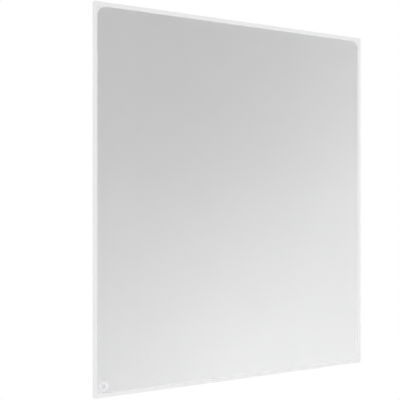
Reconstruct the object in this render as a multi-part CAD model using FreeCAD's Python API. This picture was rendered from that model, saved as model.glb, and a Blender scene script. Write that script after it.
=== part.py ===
import FreeCAD, Part
import math
import os

# A framed insect screen that flexible magnets along its back hold in place.
# Units are millimetres. X runs to the right, Y from the front to the back, Z upwards.
# The origin is the middle of the lower edge, half way through the thickness.

# The frame as a whole
frame_width = 1200.0
frame_height = 1400.0
rail_width = 14.0
rail_depth = 9.8
rail_wall = 1.1
front_edge_bevel = 0.6

# The cloth and the spline that holds its edge
cloth_thickness = 0.3
cloth_tuck = 2.2
grid_columns = 7
grid_rows = 8
grid_bar = 45.0
spline_diameter = 2.0
spline_clearance = 0.1
spline_joint = 0.6
spline_sides = 8
groove_depth = 3.6
lip_width = 1.0
lip_setback = 1.8
barb_height = 0.3
barb_width = 0.3
barb_below_mouth = 0.3

# The magnet strips
magnet_thickness = 2.0
magnet_proud = 0.2
magnet_clearance = 0.1
magnet_end_gap = 1.0

# The corner pieces
inner_radius = 38.0
corner_straight = 4.0
outer_radius = 2.5
corner_skin = 1.6
corner_wall = 1.4
corner_end_wall = 2.5
groove_wall = 0.9
rib_thickness = 1.2
rib_from_end = 11.0

# The tongues that plug into the rails
tongue_length = 36.0
tongue_clearance = 0.15
tongue_taper = 0.6
tongue_tip = 4.0
tongue_wall = 1.3
tongue_pockets = 3
crush_rib_width = 0.8

# The lids behind the corner pieces
lid_thickness = 1.2
lid_rim = 0.8
lid_clearance = 0.1
boss_wall = 0.7
boss_length = 3.0
boss_clearance = 0.15

# The corner screws
screw_diameter = 2.9
screw_tip = 1.2
screw_end_gap = 0.5
screw_head_diameter = 5.6
screw_head_height = 1.2
screw_point = 0.4
screw_sides = 16
screw_seat_depth = 1.6
head_clearance = 0.4
shank_clearance = 0.2
thread_clearance = 0.03

# The pull ring
ring_diameter = 38.0
ring_hole = 17.0
ring_thickness = 3.6
ring_edge_bevel = 1.1
ring_gap = 1.0
ring_angle = 45.0
tail_width = 8.0
tail_thickness = 2.0
tail_skin = 0.7
tail_clearance = 0.1
tower_wall = 1.6

# Places worked out from the sizes above
front = -(rail_depth + magnet_proud) / 2
left = -frame_width / 2
groove_width = spline_diameter + 2 * spline_clearance + 2 * cloth_thickness
groove_floor = rail_depth - groove_depth
groove_reach = lip_width + groove_width
cloth_depth = rail_depth - lip_setback
channel_floor = rail_depth + magnet_proud - magnet_thickness
channel_low = rail_wall
channel_high = rail_width - groove_reach - rail_wall
lid_depth = rail_depth - lid_thickness
corner_leg = rail_width + inner_radius + corner_straight
boss_radius = screw_diameter / 2 + boss_wall
tower_radius = tail_width / 2 + tower_wall
tower_depth = lid_depth - boss_length
tail_depth = screw_seat_depth + tail_skin + tail_clearance
arc_centre = rail_width + inner_radius
screw_offset = groove_reach + groove_wall + boss_radius
screw_inset = arc_centre - (inner_radius + screw_offset) / math.sqrt(2)

CORNERS = ("bottom_left", "bottom_right", "top_left", "top_right")


def spot(x, depth, z):
    """A point by its place in the front view and its depth behind the front."""
    return FreeCAD.Vector(x, front + depth, z)


def backwards(distance):
    """A step towards the back of the frame."""
    return FreeCAD.Vector(0, distance, 0)


def outline(corners):
    """A closed wire in the front plane through (x, z, radius) corners, each rounded to its radius."""
    points = [spot(x, 0, z) for x, z, radius in corners]
    arcs = []
    for index, (x, z, radius) in enumerate(corners):
        back = (points[index - 1] - points[index]).normalize()
        on = (points[(index + 1) % len(points)] - points[index]).normalize()
        half_angle = back.getAngle(on) / 2
        reach = radius / math.tan(half_angle)
        bulge = radius / math.sin(half_angle) - radius
        inward = (back + on).normalize()
        arcs.append((points[index] + back * reach, points[index] + inward * bulge, points[index] + on * reach))
    edges = []
    for index, (start, middle, end) in enumerate(arcs):
        if corners[index][2] > 0:
            edges.append(Part.Arc(start, middle, end).toShape())
        next_start = arcs[(index + 1) % len(arcs)][0]
        edges.append(Part.LineSegment(end, next_start).toShape())
    return Part.Wire(edges)


def plate(wire, near, far):
    """The region inside a wire of the front plane, filled from one depth to another."""
    face = Part.Face(wire)
    face.translate(backwards(near))
    return face.extrude(backwards(far - near))


def rectangle(x_low, x_high, z_low, z_high):
    """A wire round a plain rectangle of the front plane."""
    return outline([(x_low, z_low, 0), (x_high, z_low, 0), (x_high, z_high, 0), (x_low, z_high, 0)])


def opening(out):
    """The outline of the frame's opening, grown outwards by a distance."""
    low = rail_width - out
    x_high = -left - low
    z_high = frame_height - low
    radius = inner_radius + out
    return outline([(-x_high, low, radius), (x_high, low, radius), (x_high, z_high, radius), (-x_high, z_high, radius)])


def band(inside, outside, near, far):
    """A band round the opening between two distances from its edge, and between two depths."""
    return plate(opening(outside), near, far).cut(plate(opening(inside), near, far))


def rod(x, z, radius, near, far):
    """A round rod from one depth to another."""
    return Part.makeCylinder(radius, far - near, spot(x, near, z), backwards(1))


def swapped(shape):
    """The shape mirrored in the diagonal of the bottom left corner, which swaps bottom and left."""
    return shape.mirror(FreeCAD.Vector(left, 0, 0), FreeCAD.Vector(1, 0, -1))


def moved_to(shape, place):
    """A shape of the bottom left corner, mirrored to one of the four corners."""
    if "right" in place:
        shape = shape.mirror(FreeCAD.Vector(0, 0, 0), FreeCAD.Vector(1, 0, 0))
    if "top" in place:
        shape = shape.mirror(FreeCAD.Vector(0, 0, frame_height / 2), FreeCAD.Vector(0, 0, 1))
    return shape


def section(points, x):
    """A wire across the bottom rail at x through (height, depth) points."""
    corners = [spot(x, depth, height) for height, depth in points]
    return Part.makePolygon(corners + corners[:1])


def chamber(inset):
    """The (height, depth) points of the rail's hollow, drawn in by a distance all round."""
    low = rail_wall + inset
    step = channel_high - inset
    high = rail_width - rail_wall - inset
    shelf = groove_floor - rail_wall - inset
    top = channel_floor - rail_wall - inset
    return [(low, low), (high, low), (high, shelf), (step, shelf), (step, top), (low, top)]


def rail_points():
    """The (height, depth) points round the outside of the rail, with its lip, groove and magnet channel."""
    lip = rail_width - lip_width
    groove = rail_width - groove_reach
    barb = rail_depth - barb_below_mouth
    return [
        (0, 0),
        (rail_width, 0),
        (rail_width, cloth_depth),
        (lip, cloth_depth),
        (lip, groove_floor),
        (groove, groove_floor),
        (groove, barb - barb_width - barb_height),
        (groove + barb_height, barb - barb_width),
        (groove + barb_height, barb),
        (groove, barb),
        (groove, rail_depth),
        (channel_high, rail_depth),
        (channel_high, channel_floor),
        (channel_low, channel_floor),
        (channel_low, rail_depth),
        (0, rail_depth),
    ]


def rail(side):
    """One hollow rail between two corner pieces, built along the bottom and turned to its side."""
    upright = side in ("left", "right")
    length = (frame_height if upright else frame_width) - 2 * corner_leg
    start = left + corner_leg
    body = Part.Face(section(rail_points(), start)).extrude(FreeCAD.Vector(length, 0, 0))
    front_edges = []
    for edge in body.Edges:
        middle = edge.CenterOfMass
        if abs(middle.y - front) < 0.001 and edge.Length > length - 1:
            front_edges.append(edge)
    body = body.makeChamfer(front_edge_bevel, front_edges)
    body = body.cut(Part.Face(section(chamber(0), start)).extrude(FreeCAD.Vector(length, 0, 0)))
    return moved_to(swapped(body) if upright else body, side)


def magnet_strip(side):
    """The flexible magnet in a rail's channel, a little proud of the back."""
    upright = side in ("left", "right")
    length = (frame_height if upright else frame_width) - 2 * corner_leg - 2 * magnet_end_gap
    start = left + corner_leg + magnet_end_gap
    low = channel_low + magnet_clearance
    high = channel_high - magnet_clearance
    strip = plate(rectangle(start, start + length, low, high), channel_floor, channel_floor + magnet_thickness)
    return moved_to(swapped(strip) if upright else strip, side)


def taper(root, tip):
    """A solid with flat sides from one ring of places to another with as many."""
    faces = [Part.Face(Part.makePolygon(ring + ring[:1])) for ring in (root, tip)]
    for index in range(len(root)):
        loop = [root[index - 1], root[index], tip[index], tip[index - 1], root[index - 1]]
        faces.append(Part.Face(Part.makePolygon(loop)))
    solid = Part.Solid(Part.Shell(faces))
    if solid.Volume < 0:
        solid.reverse()
    return solid


def tongue():
    """The plug into the bottom rail: a tapered tip, pockets open to the back and crush ribs in front."""
    start = left + corner_leg
    shoulder = start + tongue_length - tongue_tip
    straight = Part.Face(section(chamber(tongue_clearance), start))
    body = straight.extrude(FreeCAD.Vector(tongue_length - tongue_tip, 0, 0))
    root = [spot(shoulder, depth, height) for height, depth in chamber(tongue_clearance)]
    tip = [spot(start + tongue_length, depth, height) for height, depth in chamber(tongue_clearance + tongue_taper)]
    body = body.fuse(taper(root, tip))
    low = rail_wall + tongue_clearance + tongue_wall
    high = channel_high - tongue_clearance - tongue_wall
    floor = rail_wall + tongue_clearance + tongue_wall
    pitch = (shoulder - start) / tongue_pockets
    for index in range(tongue_pockets):
        begin = start + index * pitch + tongue_wall
        pocket = rectangle(begin, begin + pitch - tongue_wall, low, high)
        body = body.cut(plate(pocket, floor, channel_floor))
    for height in (low, high):
        rib = rectangle(start, shoulder, height - crush_rib_width / 2, height + crush_rib_width / 2)
        body = body.fuse(plate(rib, rail_wall, rail_wall + tongue_clearance))
    return body


def ring_centre():
    """The place of the ring, out from the screw along its tail, until its rim is the gap short of the arc."""
    turn = math.radians(ring_angle)
    screw = screw_inset - arc_centre
    along = screw * (math.cos(turn) + math.sin(turn))
    room = inner_radius - ring_gap - ring_diameter / 2
    reach = -along - math.sqrt(along**2 - 2 * screw**2 + room**2)
    return left + screw_inset + reach * math.cos(turn), screw_inset + reach * math.sin(turn), reach


def tail(grow):
    """The ring's flat tail from the ring's middle to round the screw, grown on all sides by a clearance."""
    x, z, reach = ring_centre()
    half = tail_width / 2 + grow
    near = tail_depth - grow
    far = tail_depth + tail_thickness + grow
    end_x = left + screw_inset
    bar = plate(rectangle(end_x, end_x + reach, screw_inset - half, screw_inset + half), near, far)
    bar.rotate(spot(end_x, 0, screw_inset), FreeCAD.Vector(0, 1, 0), -ring_angle)
    return bar.fuse(rod(end_x, screw_inset, half, near, far))


def corner_hollow():
    """The pocket moulded into the back of a corner piece, round its tower and between its ribs."""
    low = corner_wall
    high = corner_leg - corner_end_wall
    room = plate(rectangle(left + low, left + high, low, high), corner_skin, rail_depth)
    room = room.cut(plate(opening(groove_reach + groove_wall), corner_skin, rail_depth))
    across = corner_leg - rib_from_end
    rib = plate(rectangle(left + across, left + across + rib_thickness, 0, corner_leg), corner_skin, lid_depth)
    brace_low = screw_inset - rib_thickness / 2
    brace = plate(rectangle(left, left + screw_inset, brace_low, brace_low + rib_thickness), corner_skin, tower_depth)
    tower = rod(left + screw_inset, screw_inset, tower_radius, corner_skin, tower_depth)
    for solid in (rib, swapped(rib), brace, swapped(brace), tower):
        room = room.cut(solid)
    return room


def corner_piece(place):
    """A corner moulding with its arc, groove, pocket, screw tower and two tongues."""
    body = plate(
        outline(
            [
                (left, 0, outer_radius),
                (left + corner_leg, 0, 0),
                (left + corner_leg, rail_width, 0),
                (left + rail_width, rail_width, inner_radius),
                (left + rail_width, corner_leg, 0),
                (left, corner_leg, 0),
            ]
        ),
        0,
        rail_depth,
    )
    front_edges = []
    for edge in body.Edges:
        middle = edge.CenterOfMass
        at_end = max(middle.x - left, middle.z) > corner_leg - 0.001
        if abs(middle.y - front) < 0.001 and not at_end:
            front_edges.append(edge)
    body = body.makeChamfer(front_edge_bevel, front_edges)
    body = body.cut(plate(opening(lip_width), cloth_depth, rail_depth))
    body = body.cut(band(lip_width, groove_reach, groove_floor, rail_depth))
    body = body.cut(corner_hollow())
    seat_high = corner_leg - lid_rim
    seat = rectangle(left + lid_rim, left + seat_high, lid_rim, seat_high)
    body = body.cut(plate(seat, lid_depth, rail_depth))
    plug = tongue()
    body = body.fuse(plug).fuse(swapped(plug))
    x = left + screw_inset
    z = screw_inset
    head_room = (screw_head_diameter + 2 * head_clearance) / 2
    shank_room = screw_diameter / 2 + shank_clearance
    body = body.cut(rod(x, z, head_room, 0, screw_seat_depth))
    body = body.cut(rod(x, z, shank_room, screw_seat_depth, tower_depth))
    body = body.cut(rod(x, z, boss_radius + boss_clearance, tower_depth, lid_depth))
    if place == "bottom_left":
        body = body.cut(tail(tail_clearance))
    return moved_to(body.removeSplitter(), place)


def corner_lid(place):
    """The lid in the back of a corner piece, with the boss that its screw bites into."""
    low = lid_rim + lid_clearance
    high = corner_leg - low
    flat = plate(rectangle(left + low, left + high, low, high), lid_depth, rail_depth)
    edge = lip_width + cloth_thickness + lid_clearance
    flat = flat.cut(plate(opening(edge), lid_depth, rail_depth))
    x = left + screw_inset
    bore = screw_diameter / 2 + thread_clearance
    boss = rod(x, screw_inset, boss_radius, tower_depth, lid_depth)
    lid = flat.fuse(boss).cut(rod(x, screw_inset, bore, tower_depth, lid_depth))
    return moved_to(lid.removeSplitter(), place)


def screw_ring(radius, depth):
    """Evenly turned places round the bottom left screw's axis, in a ring as many-sided as the screw."""
    turns = [2 * math.pi * index / screw_sides for index in range(screw_sides)]
    middle = left + screw_inset
    return [spot(middle + radius * math.cos(turn), depth, screw_inset + radius * math.sin(turn)) for turn in turns]


def corner_screw(place):
    """A pan head screw with many flat sides, whose point stops short of the lid."""
    head = screw_head_diameter / 2
    shank = screw_diameter / 2
    seat = screw_seat_depth
    end = lid_depth - screw_end_gap
    shoulder = end - screw_tip
    screw = taper(screw_ring(head, seat - screw_head_height), screw_ring(head, seat))
    screw = screw.fuse(taper(screw_ring(shank, seat), screw_ring(shank, shoulder)))
    screw = screw.fuse(taper(screw_ring(shank, shoulder), screw_ring(screw_point / 2, end)))
    return moved_to(screw, place)


def grid_cells():
    """The plain grid of openings that stands in for the cloth's fine mesh."""
    width = frame_width - 2 * rail_width
    height = frame_height - 2 * rail_width
    cell_width = (width - (grid_columns + 1) * grid_bar) / grid_columns
    cell_height = (height - (grid_rows + 1) * grid_bar) / grid_rows
    cells = []
    for column in range(grid_columns):
        x = -width / 2 + grid_bar + column * (cell_width + grid_bar)
        for row in range(grid_rows):
            z = rail_width + grid_bar + row * (cell_height + grid_bar)
            wire = rectangle(x, x + cell_width, z, z + cell_height)
            cells.append(plate(wire, cloth_depth, cloth_depth + cloth_thickness))
    return Part.makeCompound(cells)


def screen_cloth():
    """The cloth as one thin skin: an open grid over the opening, tucked down, across and up the groove."""
    skin = lip_width + cloth_thickness
    floor = groove_floor + cloth_thickness
    sheet = plate(opening(skin), cloth_depth, cloth_depth + cloth_thickness)
    down = band(lip_width, skin, groove_floor, cloth_depth)
    across = band(skin, groove_reach, groove_floor, floor)
    up = band(groove_reach - cloth_thickness, groove_reach, floor, groove_floor + cloth_tuck)
    return sheet.fuse([down, across, up]).removeSplitter().cut(grid_cells())


def retaining_spline():
    """The many-sided cord pressed into the groove all the way round, its two ends met below."""
    radius = spline_diameter / 2
    depth = groove_floor + cloth_thickness + radius
    height = rail_width - lip_width - groove_width / 2
    turns = [2 * math.pi * (index + 0.5) / spline_sides for index in range(spline_sides)]
    profile = [(height + radius * math.cos(turn), depth + radius * math.sin(turn)) for turn in turns]
    start = left + arc_centre
    face = Part.Face(section(profile, start))
    arc = face.revolve(spot(start, 0, arc_centre), FreeCAD.Vector(0, 1, 0), 90)
    pieces = [moved_to(arc, place) for place in CORNERS]
    for side, span in (("bottom", frame_width), ("top", frame_width), ("left", frame_height), ("right", frame_height)):
        run = face.extrude(FreeCAD.Vector(span - 2 * arc_centre, 0, 0))
        pieces.append(moved_to(swapped(run) if side in ("left", "right") else run, side))
    cord = pieces[0].fuse(pieces[1:]).removeSplitter()
    half = spline_joint / 2
    gap = plate(rectangle(-half, half, 0, rail_width), groove_floor, rail_depth)
    return cord.cut(gap)


def pull_ring():
    """The finger ring at the bottom left, its rounded rim turned about its middle, with the tail and its eye."""
    x, z, reach = ring_centre()
    inner = ring_hole / 2
    outer = ring_diameter / 2
    middle = tail_depth + tail_thickness / 2
    near = middle - ring_thickness / 2
    disc = rod(x, z, outer, near, near + ring_thickness).cut(rod(x, z, inner, near, near + ring_thickness))
    rims = []
    for edge in disc.Edges:
        if edge.isClosed() and len(edge.Vertexes) == 1 and abs(edge.CenterOfMass.x - x) < 0.001:
            rims.append(edge)
    ring = disc.makeChamfer(ring_edge_bevel, rims)
    arm = tail(0).cut(rod(x, z, (inner + outer) / 2, 0, rail_depth))
    ring = ring.fuse(arm)
    eye = screw_diameter / 2 + shank_clearance
    return ring.cut(rod(left + screw_inset, screw_inset, eye, 0, rail_depth)).removeSplitter()


def save(shape, node):
    """Writes a node's solids and says how large and sound they are."""
    shape.exportStep(f"parts/{node}.step")
    print(node, len(shape.Solids), "solid(s)", round(shape.Volume), "mm3", "valid" if shape.isValid() else "INVALID")


os.makedirs("parts", exist_ok=True)
for side in ("bottom", "top", "left", "right"):
    save(rail(side), f"rail_{side}")
    save(magnet_strip(side), f"magnet_strip_{side}")
for place in CORNERS:
    save(corner_piece(place), f"corner_{place}")
    save(corner_lid(place), f"corner_lid_{place}")
    save(corner_screw(place), f"corner_screw_{place}")
save(screen_cloth(), "screen_cloth")
save(retaining_spline(), "retaining_spline")
save(pull_ring(), "pull_ring")
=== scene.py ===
import math

import bmesh
import bpy
import numpy as np
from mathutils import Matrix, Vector


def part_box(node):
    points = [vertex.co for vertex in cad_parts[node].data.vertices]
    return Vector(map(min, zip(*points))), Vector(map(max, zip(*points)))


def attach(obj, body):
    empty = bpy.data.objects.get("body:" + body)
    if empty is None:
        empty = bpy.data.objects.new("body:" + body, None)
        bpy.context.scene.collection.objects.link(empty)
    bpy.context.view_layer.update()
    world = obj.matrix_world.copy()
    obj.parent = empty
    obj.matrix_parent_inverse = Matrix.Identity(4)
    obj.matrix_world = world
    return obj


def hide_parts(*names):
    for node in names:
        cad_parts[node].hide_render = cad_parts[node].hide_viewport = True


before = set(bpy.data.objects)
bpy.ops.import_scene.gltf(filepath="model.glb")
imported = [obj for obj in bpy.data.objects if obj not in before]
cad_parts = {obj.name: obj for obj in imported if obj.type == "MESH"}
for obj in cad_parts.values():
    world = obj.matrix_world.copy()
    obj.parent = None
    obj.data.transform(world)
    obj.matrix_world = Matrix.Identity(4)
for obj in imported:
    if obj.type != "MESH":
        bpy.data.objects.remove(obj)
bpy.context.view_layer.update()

# The looks of a framed insect screen: satin white rails and corners, a woven grey cloth and a finger ring.
# Lengths are metres. X runs to the right, Y from the front to the back, Z upwards.

MM = 0.001
FULL_TURN = 2 * math.pi
SIDES = ("bottom", "top", "left", "right")
CORNERS = ("bottom_left", "bottom_right", "top_left", "top_right")

# The frame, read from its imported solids
rail_low, rail_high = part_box("rail_bottom")
rail_width = rail_high[2] - rail_low[2]
front_y = rail_low[1]
half_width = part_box("rail_right")[1][0]
frame_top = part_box("rail_top")[1][2]
frame_middle = frame_top / 2

# The opening's round corners and the groove behind its edge, in depth from the front
inner_radius = 38 * MM
lip_width = 1.0 * MM
groove_width = 2.8 * MM
groove_floor = 6.2 * MM
cloth_depth = 8.0 * MM
cloth_skin = 0.3 * MM
tuck_top = 8.4 * MM

# The yarns of the cloth
yarn_pitch = 1.27 * MM
yarn_diameter = 0.395 * MM
yarn_overlap = 0.8
yarn_sides = 6
yarn_wander = 0.04
yarn_uneven = 0.05
yarn_end = 0.15 * MM
cloth_half_x = half_width - rail_width + lip_width + yarn_end
cloth_half_z = frame_middle - rail_width + lip_width + yarn_end

rng = np.random.default_rng(7)


# Meshes


def new_object(name, points, faces, smooth=True, material=None):
    """A mesh object at the origin from an array of points and lists of faces."""
    mesh = bpy.data.meshes.new(name)
    mesh.from_pydata(np.asarray(points).reshape(-1, 3).tolist(), [], faces)
    mesh.validate()
    mesh.polygons.foreach_set("use_smooth", np.full(len(mesh.polygons), smooth))
    obj = bpy.data.objects.new(name, mesh)
    bpy.context.collection.objects.link(obj)
    if material:
        mesh.materials.append(material)
    return obj


def grid_faces(rows, columns, close_rows=False, close_columns=False):
    """The quads of a grid of points, row by row, closed round either way if asked."""
    r = np.arange(rows if close_rows else rows - 1)[:, None]
    c = np.arange(columns if close_columns else columns - 1)[None, :]
    r2 = (r + 1) % rows
    c2 = (c + 1) % columns
    quads = np.stack([r * columns + c, r * columns + c2, r2 * columns + c2, r2 * columns + c], axis=-1)
    return quads.reshape(-1, 4).tolist()


def end_caps(rows, columns):
    """One face over the first row of a grid of points and one over its last."""
    return [list(range(columns)), list(range((rows - 1) * columns, rows * columns))]


def turns(steps):
    """Evenly spaced angles round a full turn."""
    return np.linspace(0, FULL_TURN, steps, endpoint=False)


def outward(obj):
    """Merges an object's doubled points and turns its faces outwards."""
    doubles_within = 1e-7
    work = bmesh.new()
    work.from_mesh(obj.data)
    bmesh.ops.remove_doubles(work, verts=work.verts, dist=doubles_within)
    bmesh.ops.recalc_face_normals(work, faces=work.faces)
    work.to_mesh(obj.data)
    work.free()
    return obj


def boolean(obj, tool, operation):
    """Joins a tool solid to an object or cuts it away, and removes the tool."""
    crease_from = math.radians(32)
    modifier = obj.modifiers.new(operation.lower(), "BOOLEAN")
    modifier.operation = operation
    modifier.solver = "EXACT"
    modifier.object = tool
    depsgraph = bpy.context.evaluated_depsgraph_get()
    result = bpy.data.meshes.new_from_object(obj.evaluated_get(depsgraph))
    obj.modifiers.clear()
    obj.data = result
    result.set_sharp_from_angle(angle=crease_from)
    bpy.data.objects.remove(tool)


def round_opening(out, arc_steps):
    """Points and outward normals round the opening grown by a distance: each corner is centre plus
    radius times (cos, sin) of a quarter turn, and the straight sides are what joins the corners."""
    centre_x = half_width - rail_width - inner_radius
    low = rail_width + inner_radius
    high = frame_top - rail_width - inner_radius
    centres = np.array([(centre_x, low), (centre_x, high), (-centre_x, high), (-centre_x, low)])
    quarter = np.linspace(0, math.pi / 2, arc_steps + 1)
    angles = quarter[None, :] + (np.arange(4)[:, None] - 1) * math.pi / 2
    normals = np.stack([np.cos(angles), np.sin(angles)], axis=-1)
    points = centres[:, None, :] + (inner_radius + out) * normals
    return points.reshape(-1, 2), normals.reshape(-1, 2)


# The cloth


def rods(starts, ends, across, back, radii, first):
    """Straight closed rods, their points numbered from a first one: each ring point is an end plus the
    rod's radius times cos(turn) across and sin(turn) back, with a flat cap on each end."""
    turn = np.arange(yarn_sides) * 2 * math.pi / yarn_sides
    ring = np.cos(turn)[:, None] * np.array(across) + np.sin(turn)[:, None] * np.array(back)
    ring = radii[:, None, None] * ring[None, :, :]
    points = np.stack([starts[:, None, :] + ring, ends[:, None, :] + ring], axis=1)
    base = first + np.arange(len(starts))[:, None] * 2 * yarn_sides
    k = np.arange(yarn_sides)[None, :]
    k2 = (k + 1) % yarn_sides
    quads = np.stack([base + k, base + k2, base + yarn_sides + k2, base + yarn_sides + k], axis=-1)
    near_caps = base + k[:, ::-1]
    far_caps = base + yarn_sides + k
    return points.reshape(-1, 3), quads.reshape(-1, 4).tolist() + near_caps.tolist() + far_caps.tolist()


def yarn_count(half_span):
    """How many yarns lie across a span."""
    return int(2 * half_span / yarn_pitch)


def yarn_places(half_span):
    """Evenly pitched places across a span, each let wander a little."""
    count = yarn_count(half_span)
    places = (np.arange(count) - (count - 1) / 2) * yarn_pitch
    return places + rng.normal(0, yarn_wander * yarn_pitch, count)


def reach_at(places, half_span, half_reach):
    """How far a yarn reaches: to the straight side, or to the round corner where its place is beyond
    the corner's centre, which is the centre's reach plus the root of radius squared less distance squared."""
    radius = inner_radius + lip_width + yarn_end
    beyond = np.clip(np.abs(places) - (half_span - radius), 0, radius)
    return half_reach - radius + np.sqrt(np.maximum(radius**2 - beyond**2, 0))


def yarn_layer(half_span, half_reach, depth, upright, first):
    """A layer of parallel yarns at one depth, upright or level, each a little thinner or thicker."""
    places = yarn_places(half_span)
    reach = reach_at(places, half_span, half_reach)
    radii = yarn_diameter / 2 * (1 + rng.uniform(-yarn_uneven, yarn_uneven, len(places)))
    depths = np.full_like(places, depth)
    if upright:
        starts = np.stack([places, depths, frame_middle - reach], axis=-1)
        ends = np.stack([places, depths, frame_middle + reach], axis=-1)
        return rods(starts, ends, (1, 0, 0), (0, 1, 0), radii, first)
    starts = np.stack([-reach, depths, places + frame_middle], axis=-1)
    ends = np.stack([reach, depths, places + frame_middle], axis=-1)
    return rods(starts, ends, (0, 1, 0), (0, 0, 1), radii, first)


def screen_cloth(material):
    """The cloth as straight yarns, the upright ones in front of the level ones and sunk into them."""
    warp_y = front_y + cloth_depth + yarn_diameter / 2
    weft_y = warp_y + yarn_diameter * yarn_overlap
    warp_points, warp_faces = yarn_layer(cloth_half_x, cloth_half_z, warp_y, True, 0)
    weft_points, weft_faces = yarn_layer(cloth_half_z, cloth_half_x, weft_y, False, len(warp_points))
    points = np.concatenate([warp_points, weft_points])
    return new_object("screen_cloth_yarns", points, warp_faces + weft_faces, True, material)


def cloth_tuck(material):
    """The cloth's edge in the groove: a thin U profile carried round the opening."""
    clearance = 0.02 * MM
    arc_steps = 16
    low = lip_width + clearance
    inner = lip_width + cloth_skin
    high = lip_width + groove_width - cloth_skin
    outer = lip_width + groove_width - clearance
    rim = cloth_depth + cloth_skin
    bed = groove_floor + cloth_skin
    base = groove_floor + clearance
    profile = [
        (low, rim),
        (inner, rim),
        (inner, bed),
        (high, bed),
        (high, tuck_top),
        (outer, tuck_top),
        (outer, base),
        (low, base),
    ]
    rows = []
    for out, depth in profile:
        points = round_opening(out, arc_steps)[0]
        rows.append(np.insert(points, 1, front_y + depth, axis=1))
    grid = np.stack(rows)
    faces = grid_faces(len(profile), grid.shape[1], True, True)
    return outward(new_object("screen_cloth_tuck", grid, faces, False, material))


def spline_cord(material):
    """The rubber cord in the groove: a circle whose radius ripples round the section like a ribbed
    extrusion, carried round the opening from one end to the other, which meet below."""
    radius = 0.95 * MM
    ripple = 0.035 * MM
    ribs = 12
    steps_per_rib = 4
    arc_steps = 20
    middle_above_cloth = 1.0 * MM
    half_joint = 0.3 * MM
    points, normals = round_opening(lip_width + groove_width / 2, arc_steps)
    below = points[0, 1]
    points = np.concatenate([[(half_joint, below)], points, [(-half_joint, below)]])
    normals = np.concatenate([[(0, -1)], normals, [(0, -1)]])
    turn = turns(ribs * steps_per_rib)
    size = radius + ripple * np.cos(ribs * turn)
    flat = points[:, None, :] + (size * np.cos(turn))[None, :, None] * normals[:, None, :]
    depth = front_y + groove_floor + cloth_skin + middle_above_cloth + size * np.sin(turn)
    grid = np.stack([flat[..., 0], np.broadcast_to(depth, flat.shape[:2]), flat[..., 1]], axis=-1)
    rows, columns = grid.shape[:2]
    faces = grid_faces(rows, columns, False, True) + end_caps(rows, columns)
    return outward(new_object("retaining_cord", grid, faces, True, material))


# The pull ring


def squared_up(wave, power):
    """A sine or cosine raised to a power under one with its sign kept, which makes a circle boxier."""
    return np.sign(wave) * np.abs(wave) ** power


def pull_ring(material):
    """The finger ring: a rim whose section is a rounded box, |cos|^p across and |sin|^p deep with p under
    one, carried round a circle, and joined to a flat tail that runs into the corner piece."""
    ring_radius = 19 * MM
    hole_radius = 8.5 * MM
    power = 0.62
    turn_steps = 96
    section_steps = 32
    screw_hole_radius = 1.65 * MM
    screw_hole_reach = 4 * MM
    low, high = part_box("pull_ring")
    centre = np.array([high[0] - ring_radius, (low[1] + high[1]) / 2, high[2] - ring_radius])
    screw_low, screw_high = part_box("corner_screw_bottom_left")
    screw = np.array([(screw_low[0] + screw_high[0]) / 2, centre[1], (screw_low[2] + screw_high[2]) / 2])
    turn = turns(turn_steps)[:, None]
    section = turns(section_steps)[None, :]
    across = squared_up(np.cos(section), power)
    deep = squared_up(np.sin(section), power)
    radius = (ring_radius + hole_radius) / 2 + across * (ring_radius - hole_radius) / 2
    depth = np.broadcast_to(deep * (high[1] - low[1]) / 2, (turn_steps, section_steps))
    grid = np.stack([np.cos(turn) * radius, depth, np.sin(turn) * radius], axis=-1) + centre
    faces = grid_faces(turn_steps, section_steps, True, True)
    ring = outward(new_object("pull_ring_soft", grid, faces, True, material))
    boolean(ring, ring_tail(centre, screw, hole_radius), "UNION")
    boolean(ring, disc_tool(screw, screw_hole_radius, screw_hole_reach), "DIFFERENCE")
    return ring


def ring_tail(centre, screw, hole_radius):
    """The tail as a flat bar with a round end: its outline drawn in by rows that round its edges."""
    half = 4 * MM
    thickness = 2 * MM
    rounding = 0.5 * MM
    short_of_hole = 4 * MM
    end_steps = 25
    edge_rows = 9
    span = np.linalg.norm(centre - screw)
    along = (centre - screw) / span
    side = np.array([along[2], 0, -along[0]])
    reach = screw + along * (span - hole_radius - short_of_hole)
    half_turn = np.linspace(math.pi / 2, 3 * math.pi / 2, end_steps)
    normals = np.cos(half_turn)[:, None] * along + np.sin(half_turn)[:, None] * side
    outline = np.concatenate([screw + half * normals, [reach - half * side, reach + half * side]])
    normals = np.concatenate([normals, [-side, side]])
    edge = np.linspace(0, math.pi, edge_rows)
    inset = rounding * (1 - np.sin(edge))
    lift = (thickness / 2 - rounding) * np.sign(np.round(np.cos(edge), 6)) + rounding * np.cos(edge)
    grid = outline[None, :, :] - inset[:, None, None] * normals[None, :, :]
    grid = grid + lift[:, None, None] * np.array([0, 1, 0])
    columns = grid.shape[1]
    faces = grid_faces(edge_rows, columns, False, True) + end_caps(edge_rows, columns)
    return outward(new_object("tail", grid, faces))


def disc_tool(centre, radius, half_depth):
    """A plain round tool for cutting a hole from front to back."""
    steps = 48
    turn = turns(steps)
    ring = np.stack([np.cos(turn) * radius, np.zeros(steps), np.sin(turn) * radius], axis=-1) + centre
    step = np.array([0, half_depth, 0])
    faces = grid_faces(2, steps, False, True) + end_caps(2, steps)
    return outward(new_object("tool", np.stack([ring - step, ring + step]), faces))


# The corner screws


def thread_ridge(y, turn, pitch):
    """The thread's height, 0 to 1: the phase is the fraction of along / pitch + turn / full turn, and the
    height is 1 less 4 times the phase's distance from one half, and never under 0."""
    steepness = 4
    phase = (y / pitch + turn / FULL_TURN) % 1
    return np.clip(1 - np.abs(phase - 0.5) * steepness, 0, 1)


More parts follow.
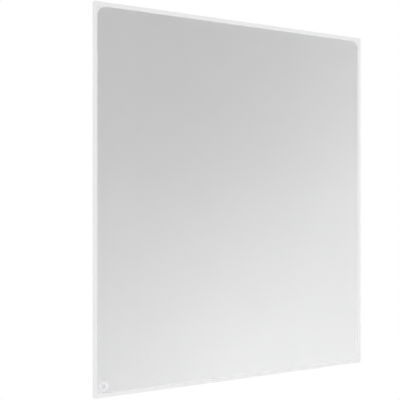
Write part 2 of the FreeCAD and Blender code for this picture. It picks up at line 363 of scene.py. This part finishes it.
def corner_screw(place, material):
    """A pan head tapping screw: a turned profile whose shank radius is the core plus a ridge that
    follows along / pitch + turn / full turn, with a cross recess cut in the head."""
    head_height = 1.2 * MM
    head_rim = 0.35 * MM
    head_power = 0.75
    core = 1.05 * MM
    ridge = 0.4 * MM
    pitch = 1.1 * MM
    plain_neck = 0.6 * MM
    run_in = 0.8 * MM
    point_length = 1.2 * MM
    neck_gap = 0.02 * MM
    point_gap = 0.1 * MM
    turn_steps = 48
    dome_rows = 9
    shank_rows = 44
    point_rows = 12
    low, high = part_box(f"corner_screw_{place}")
    centre = (np.array(low) + np.array(high)) / 2
    top = low[1]
    tip = high[1]
    seat = top + head_height
    head_radius = (high[0] - low[0]) / 2
    turn = turns(turn_steps)[None, :]
    dome = np.linspace(0, math.pi / 2, dome_rows)[:, None]
    head_y = seat - head_rim - (head_height - head_rim) * np.cos(dome)
    head_r = head_radius * np.sin(dome) ** head_power
    shank_y = np.linspace(seat + neck_gap, tip - point_length, shank_rows)[:, None]
    fade = np.clip((shank_y - seat - plain_neck) / run_in, 0, 1)
    shank_r = core + ridge * thread_ridge(shank_y, turn, pitch) * fade
    point_y = np.linspace(tip - point_length + point_gap, tip, point_rows)[:, None]
    share = (tip - point_y) / point_length
    point_r = (core + ridge * thread_ridge(point_y, turn, pitch) * share) * share
    edge_y = np.array([[seat]])
    radius = np.concatenate([head_r + 0 * turn, head_radius + 0 * turn, core + 0 * turn, shank_r, point_r])
    y = np.concatenate([head_y, edge_y, edge_y, shank_y, point_y]) + 0 * turn
    grid = np.stack([centre[0] + radius * np.cos(turn), y, centre[2] + radius * np.sin(turn)], axis=-1)
    faces = grid_faces(len(grid), turn_steps, False, True)
    screw = outward(new_object(f"corner_screw_{place}_threaded", grid, faces, True, material))
    boolean(screw, recess_tool(np.array([centre[0], top, centre[2]])), "DIFFERENCE")
    return screw


def recess_tool(mouth):
    """The cross recess: a plus outline that narrows from above the head to the recess's floor."""
    arm = 1.5 * MM
    web = 0.3 * MM
    above_head = (-0.3 * MM, 1.15)
    recess_floor = (0.75 * MM, 0.55)
    steps = [(web, web), (web, arm), (-web, arm), (-web, web), (-arm, web), (-arm, -web)]
    outline = np.array(steps + [(-x, -z) for x, z in steps])
    rows = []
    for depth, scale in (above_head, recess_floor):
        rows.append(np.insert(outline * scale, 1, depth, axis=1) + mouth)
    faces = grid_faces(2, len(outline), False, True) + end_caps(2, len(outline))
    return outward(new_object("tool", np.stack(rows), faces))


# Materials


def node_group(name, inputs, outputs):
    """An empty shader node group with named inputs, each (name, kind, default), and outputs."""
    group = bpy.data.node_groups.new(name, "ShaderNodeTree")
    for label, kind, default in inputs:
        socket = group.interface.new_socket(label, in_out="INPUT", socket_type=kind)
        if default is not None:
            socket.default_value = default
    for label, kind in outputs:
        group.interface.new_socket(label, in_out="OUTPUT", socket_type=kind)
    return group, group.nodes.new("NodeGroupInput"), group.nodes.new("NodeGroupOutput")


def add(tree, kind, **settings):
    """A new node with its settings, and the inputs that are named by number or label in 'values'."""
    node = tree.nodes.new(kind)
    values = settings.pop("values", {})
    for key, value in settings.items():
        setattr(node, key, value)
    for key, value in values.items():
        node.inputs[key].default_value = value
    return node


def fine_grain_group():
    """Moulded or drawn surface: a fine noise over stretched coordinates, and a broad slow unevenness."""
    group, given, out = node_group(
        "fine_grain",
        [
            ("Vector", "NodeSocketVector", None),
            ("Stretch", "NodeSocketVector", (1, 1, 1)),
            ("Scale", "NodeSocketFloat", 2000.0),
        ],
        [("Height", "NodeSocketFloat"), ("Cloud", "NodeSocketFloat")],
    )
    stretch = add(group, "ShaderNodeVectorMath", operation="MULTIPLY")
    noise = add(group, "ShaderNodeTexNoise", values={"Detail": 3.0, "Roughness": 0.6})
    cloud = add(group, "ShaderNodeTexNoise", values={"Scale": 9.0, "Detail": 4.0, "Roughness": 0.55})
    group.links.new(given.outputs["Vector"], stretch.inputs[0])
    group.links.new(given.outputs["Stretch"], stretch.inputs[1])
    group.links.new(stretch.outputs[0], noise.inputs["Vector"])
    group.links.new(given.outputs["Scale"], noise.inputs["Scale"])
    group.links.new(given.outputs["Vector"], cloud.inputs["Vector"])
    group.links.new(noise.outputs["Fac"], out.inputs["Height"])
    group.links.new(cloud.outputs["Fac"], out.inputs["Cloud"])
    return group


def surface_material(name, pale, deep, rough, spread, stretch, scale, depth, metallic=0.0):
    """A finished surface: colour between pale and deep by the cloud, roughness that varies with it by the
    spread either way, and a bump from the grain, which is stretched, scaled and so many metres deep."""
    colour_pale = 6
    colour_deep = 7
    colour_out = 2
    material = bpy.data.materials.new(name)
    material.use_nodes = True
    tree = material.node_tree
    shader = tree.nodes["Principled BSDF"]
    coordinates = add(tree, "ShaderNodeTexCoord")
    grain = add(tree, "ShaderNodeGroup", node_tree=grain_group, values={"Stretch": stretch, "Scale": scale})
    colour = add(tree, "ShaderNodeMix", data_type="RGBA")
    colour.inputs[colour_pale].default_value = (*pale, 1)
    colour.inputs[colour_deep].default_value = (*deep, 1)
    uneven = add(tree, "ShaderNodeMapRange", values={"To Min": rough - spread, "To Max": rough + spread})
    bump = add(tree, "ShaderNodeBump", values={"Strength": 0.6, "Distance": depth})
    tree.links.new(coordinates.outputs["Object"], grain.inputs["Vector"])
    tree.links.new(grain.outputs["Cloud"], colour.inputs["Factor"])
    tree.links.new(grain.outputs["Cloud"], uneven.inputs["Value"])
    tree.links.new(grain.outputs["Height"], bump.inputs["Height"])
    tree.links.new(colour.outputs[colour_out], shader.inputs["Base Color"])
    tree.links.new(uneven.outputs["Result"], shader.inputs["Roughness"])
    tree.links.new(bump.outputs["Normal"], shader.inputs["Normal"])
    shader.inputs["Metallic"].default_value = metallic
    return material


def woven(material, painted_dip_shade, rise):
    """Gives a yarn finish the weave's rise and fall: the cosine of a half turn per pitch across the cloth
    times the same up it, which is one where a yarn lies on top and minus one where it dips. The bump follows
    it, and the colour is scaled by it: painted shade where a yarn dips and painted light where it lies on
    top."""
    tree = material.node_tree
    coordinates = add(tree, "ShaderNodeTexCoord")
    parts = add(tree, "ShaderNodeSeparateXYZ")
    tree.links.new(coordinates.outputs["Object"], parts.inputs[0])
    waves = []
    for axis, half_span, middle in (("X", cloth_half_x, 0), ("Z", cloth_half_z, frame_middle)):
        first = middle - (yarn_count(half_span) - 1) / 2 * yarn_pitch
        turn = add(tree, "ShaderNodeMath", operation="MULTIPLY_ADD")
        turn.inputs[1].default_value = math.pi / yarn_pitch
        turn.inputs[2].default_value = -first * math.pi / yarn_pitch
        wave = add(tree, "ShaderNodeMath", operation="COSINE")
        tree.links.new(parts.outputs[axis], turn.inputs[0])
        tree.links.new(turn.outputs[0], wave.inputs[0])
        waves.append(wave)
    weave = add(tree, "ShaderNodeMath", operation="MULTIPLY")
    shades = {"From Min": -1.0, "To Min": painted_dip_shade, "To Max": 2 - painted_dip_shade}
    painted_shade = add(tree, "ShaderNodeMapRange", values=shades)
    # Painted shade and light: the yarn's colour is darkened where a yarn dips under another and lightened
    # where it lies on top
    colour = add(tree, "ShaderNodeVectorMath", operation="SCALE")
    bump = add(tree, "ShaderNodeBump", values={"Strength": 0.6, "Distance": rise})
    shader = tree.nodes["Principled BSDF"]
    plain = shader.inputs["Base Color"].links[0].from_socket
    grain = shader.inputs["Normal"].links[0].from_socket
    tree.links.new(waves[0].outputs[0], weave.inputs[0])
    tree.links.new(waves[1].outputs[0], weave.inputs[1])
    tree.links.new(weave.outputs[0], painted_shade.inputs["Value"])
    tree.links.new(plain, colour.inputs[0])
    tree.links.new(painted_shade.outputs["Result"], colour.inputs["Scale"])
    tree.links.new(colour.outputs[0], shader.inputs["Base Color"])
    tree.links.new(weave.outputs[0], bump.inputs["Height"])
    tree.links.new(grain, bump.inputs["Normal"])
    tree.links.new(bump.outputs["Normal"], shader.inputs["Normal"])


def dress(node, material):
    """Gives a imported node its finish."""
    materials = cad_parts[node].data.materials
    materials.clear()
    materials.append(material)


# The finishes: the grain runs long on the drawn rails and is even on what is moulded
grain_group = fine_grain_group()
EVEN = (1, 1, 1)
rail_finish = {
    "pale": (0.80, 0.80, 0.808),
    "deep": (0.785, 0.785, 0.793),
    "rough": 0.42,
    "spread": 0.05,
    "scale": 2500,
    "depth": 0.05 * MM,
}
level_rail = surface_material("rail_satin_level", stretch=(0.02, 1, 1), **rail_finish)
upright_rail = surface_material("rail_satin_upright", stretch=(1, 1, 0.02), **rail_finish)
moulded = surface_material(
    "corner_satin",
    pale=(0.79, 0.79, 0.80),
    deep=(0.77, 0.77, 0.78),
    rough=0.46,
    spread=0.04,
    stretch=EVEN,
    scale=2200,
    depth=0.07 * MM,
)
soft_ring = surface_material(
    "ring_satin",
    pale=(0.79, 0.79, 0.805),
    deep=(0.765, 0.765, 0.78),
    rough=0.5,
    spread=0.05,
    stretch=EVEN,
    scale=2200,
    depth=0.05 * MM,
)
magnet = surface_material(
    "flexible_magnet",
    pale=(0.075, 0.068, 0.062),
    deep=(0.045, 0.04, 0.037),
    rough=0.62,
    spread=0.08,
    stretch=EVEN,
    scale=1800,
    depth=0.04 * MM,
)
rubber = surface_material(
    "spline_rubber",
    pale=(0.16, 0.16, 0.165),
    deep=(0.12, 0.12, 0.125),
    rough=0.6,
    spread=0.06,
    stretch=EVEN,
    scale=2200,
    depth=0.04 * MM,
)
plated = surface_material(
    "plated_steel",
    pale=(0.74, 0.74, 0.74),
    deep=(0.68, 0.68, 0.68),
    rough=0.42,
    spread=0.08,
    stretch=(1, 0.2, 1),
    scale=4000,
    depth=0.01 * MM,
    metallic=1.0,
)
yarn = surface_material(
    "coated_yarn",
    pale=(0.335, 0.337, 0.341),
    deep=(0.30, 0.302, 0.306),
    rough=0.5,
    spread=0.06,
    stretch=EVEN,
    scale=2600,
    depth=0.03 * MM,
)
# The weave paints shade into the yarn's colour at the dips and light at the tops
woven(yarn, painted_dip_shade=0.84, rise=0.12 * MM)

for side in SIDES:
    dress(f"rail_{side}", upright_rail if side in ("left", "right") else level_rail)
    dress(f"magnet_strip_{side}", magnet)
for place in CORNERS:
    dress(f"corner_{place}", moulded)
    dress(f"corner_lid_{place}", moulded)

cloth = screen_cloth(yarn)
tuck = cloth_tuck(yarn)
for piece in (cloth, tuck):
    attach(piece, "root")
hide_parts("screen_cloth")
cord = spline_cord(rubber)
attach(cord, "root")
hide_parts("retaining_spline")
ring = pull_ring(soft_ring)
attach(ring, "root")
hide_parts("pull_ring")
for place in CORNERS:
    screw = corner_screw(place, plated)
    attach(screw, "root")
    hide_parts(f"corner_screw_{place}")


# The stage, the lights and the camera


def seen_directly(tree):
    """A mask that is one where the camera sees a surface, by itself, in a reflection or through something
    clear, and zero for the light that the surface gives."""
    path = add(tree, "ShaderNodeLightPath")
    seen = add(tree, "ShaderNodeMath", operation="MAXIMUM")
    seen_through = add(tree, "ShaderNodeMath", operation="MAXIMUM")
    tree.links.new(path.outputs["Is Camera Ray"], seen.inputs[0])
    tree.links.new(path.outputs["Is Glossy Ray"], seen.inputs[1])
    tree.links.new(seen.outputs[0], seen_through.inputs[0])
    tree.links.new(path.outputs["Is Transmission Ray"], seen_through.inputs[1])
    return seen_through.outputs[0]


def plain_floor():
    """A pale floor below the hanging frame: it glows white to the camera and keeps a soft shadow, and away
    from the frame it clears, so that the cloth stands before plain white."""
    height = -0.9
    half = 7.0
    behind = 2.9
    matt_shade = 0.8
    seen_shade = 0.35
    seen_glow = 0.72
    clear_from = 1.1
    clear_to = 1.6
    corners = [(-half, -half, height), (half, -half, height), (half, behind, height), (-half, behind, height)]
    material = bpy.data.materials.new("pale_floor")
    material.use_nodes = True
    tree = material.node_tree
    tree.nodes.remove(tree.nodes["Principled BSDF"])
    out = tree.nodes["Material Output"]
    matt = add(tree, "ShaderNodeBsdfDiffuse", values={"Color": (matt_shade, matt_shade, matt_shade, 1)})
    faint = add(tree, "ShaderNodeBsdfDiffuse", values={"Color": (seen_shade, seen_shade, seen_shade, 1)})
    glow = add(tree, "ShaderNodeEmission", values={"Strength": seen_glow})
    clear = add(tree, "ShaderNodeBsdfTransparent")
    coordinates = add(tree, "ShaderNodeTexCoord")
    parts = add(tree, "ShaderNodeSeparateXYZ")
    away = add(tree, "ShaderNodeMath", operation="ABSOLUTE")
    clears = add(tree, "ShaderNodeMapRange", values={"From Min": clear_from, "From Max": clear_to})
    both = add(tree, "ShaderNodeAddShader")
    seen = add(tree, "ShaderNodeMixShader")
    mix = add(tree, "ShaderNodeMixShader")
    tree.links.new(faint.outputs[0], both.inputs[0])
    tree.links.new(glow.outputs[0], both.inputs[1])
    tree.links.new(seen_directly(tree), mix.inputs[0])
    tree.links.new(matt.outputs[0], mix.inputs[1])
    tree.links.new(coordinates.outputs["Object"], parts.inputs[0])
    tree.links.new(parts.outputs["Y"], away.inputs[0])
    tree.links.new(away.outputs[0], clears.inputs["Value"])
    tree.links.new(clears.outputs["Result"], seen.inputs[0])
    tree.links.new(both.outputs[0], seen.inputs[1])
    tree.links.new(clear.outputs[0], seen.inputs[2])
    tree.links.new(seen.outputs[0], mix.inputs[2])
    tree.links.new(mix.outputs[0], out.inputs["Surface"])
    return new_object("floor", corners, [[0, 1, 2, 3]], False, material)


def soft_world(strength):
    """An even pale surrounding light, plain white where it is seen."""
    world = bpy.data.worlds.new("soft_white")
    world.use_nodes = True
    tree = world.node_tree
    background = tree.nodes["Background"]
    background.inputs["Color"].default_value = (1, 1, 1, 1)
    level = add(tree, "ShaderNodeMapRange", values={"To Min": strength, "To Max": 1.0})
    tree.links.new(seen_directly(tree), level.inputs["Value"])
    tree.links.new(level.outputs["Result"], background.inputs["Strength"])
    bpy.context.scene.world = world


def lamp(kind, name, place, target, energy, **settings):
    """A lamp that stands at a place and shines at a target."""
    data = bpy.data.lights.new(name, kind)
    data.energy = energy
    for key, value in settings.items():
        setattr(data, key, value)
    obj = bpy.data.objects.new(name, data)
    obj.location = place
    obj.rotation_euler = (Vector(target) - Vector(place)).to_track_quat("-Z", "Y").to_euler()
    bpy.context.collection.objects.link(obj)
    return obj


def lamp_group(name, objects, leave_out):
    """A group of objects for a lamp to count alone, or to leave out."""
    group = bpy.data.collections.new(name)
    for obj in objects:
        group.objects.link(obj)
    if leave_out:
        for member in group.collection_objects:
            member.light_linking.link_state = "EXCLUDE"
    return group


def lights(light, objects, leave_out=False):
    """Lets a lamp light only some objects, or all but them."""
    light.light_linking.receiver_collection = lamp_group(light.name + "_lights", objects, leave_out)


def shaded_by(light, objects, leave_out=False):
    """Lets only some objects, or all but them, cast shadows in a lamp's light."""
    light.light_linking.blocker_collection = lamp_group(light.name + "_shades", objects, leave_out)


floor = plain_floor()
soft_world(strength=0.27)

# Broad lights on the frame, by azimuth and elevation in degrees, brightness and spread in degrees
frame_centre = Vector((0, 0, frame_middle))
sun_distance = 4
for name, azimuth, elevation, brightness, spread in (
    ("key", 55, 30, 0.71, 30),
    ("front_fill", -60, 8, 0.19, 60),
    ("back_fill", -150, 20, 0.5, 60),
    ("under_fill", -25, -68, 0.51, 40),
):
    turn = math.radians(azimuth)
    rise = math.radians(elevation)
    from_x = -math.sin(turn) * math.cos(rise)
    from_y = -math.cos(turn) * math.cos(rise)
    sun_place = frame_centre + Vector((from_x, from_y, math.sin(rise))) * sun_distance
    sun = lamp("SUN", name, sun_place, frame_centre, brightness * math.pi, angle=math.radians(spread))
    lights(sun, [cloth, tuck], leave_out=True)
    if elevation < 0:
        shaded_by(sun, [floor], leave_out=True)

# Light that rises over the cloth to the lower right, by place, target, power and cone in degrees
for name, spot_place, target, power, cone in (
    ("cloth_right", (0.27, -3.95, 1.31), (5.54, 0, 0.79), 3800, 122),
    ("cloth_low", (0.49, -4.03, -0.39), (0.1, 0, -3.18), 4980, 108),
):
    settings = {"spot_size": math.radians(cone), "spot_blend": 1.0, "shadow_soft_size": 0.4}
    spot = lamp("SPOT", name, spot_place, target, power, **settings)
    lights(spot, [cloth, tuck])
    shaded_by(spot, [cloth, tuck])

# The camera, level and turned to the right, with its frame shifted up by a few of the frame's 400 pixels
camera_place = (-1.3416, -2.277, 0.6882)
camera_turn = 27.074
camera_lens = 60.504
camera_sensor = 36
camera_shift = 3.119 / 400
camera = bpy.data.objects.new("camera", bpy.data.cameras.new("camera"))
camera.data.lens = camera_lens
camera.data.sensor_width = camera_sensor
camera.data.shift_y = camera_shift
camera.location = camera_place
camera.rotation_euler = (math.radians(90), 0, -math.radians(camera_turn))
bpy.context.collection.objects.link(camera)
bpy.context.scene.camera = camera
bpy.context.scene.view_settings.view_transform = "Standard"
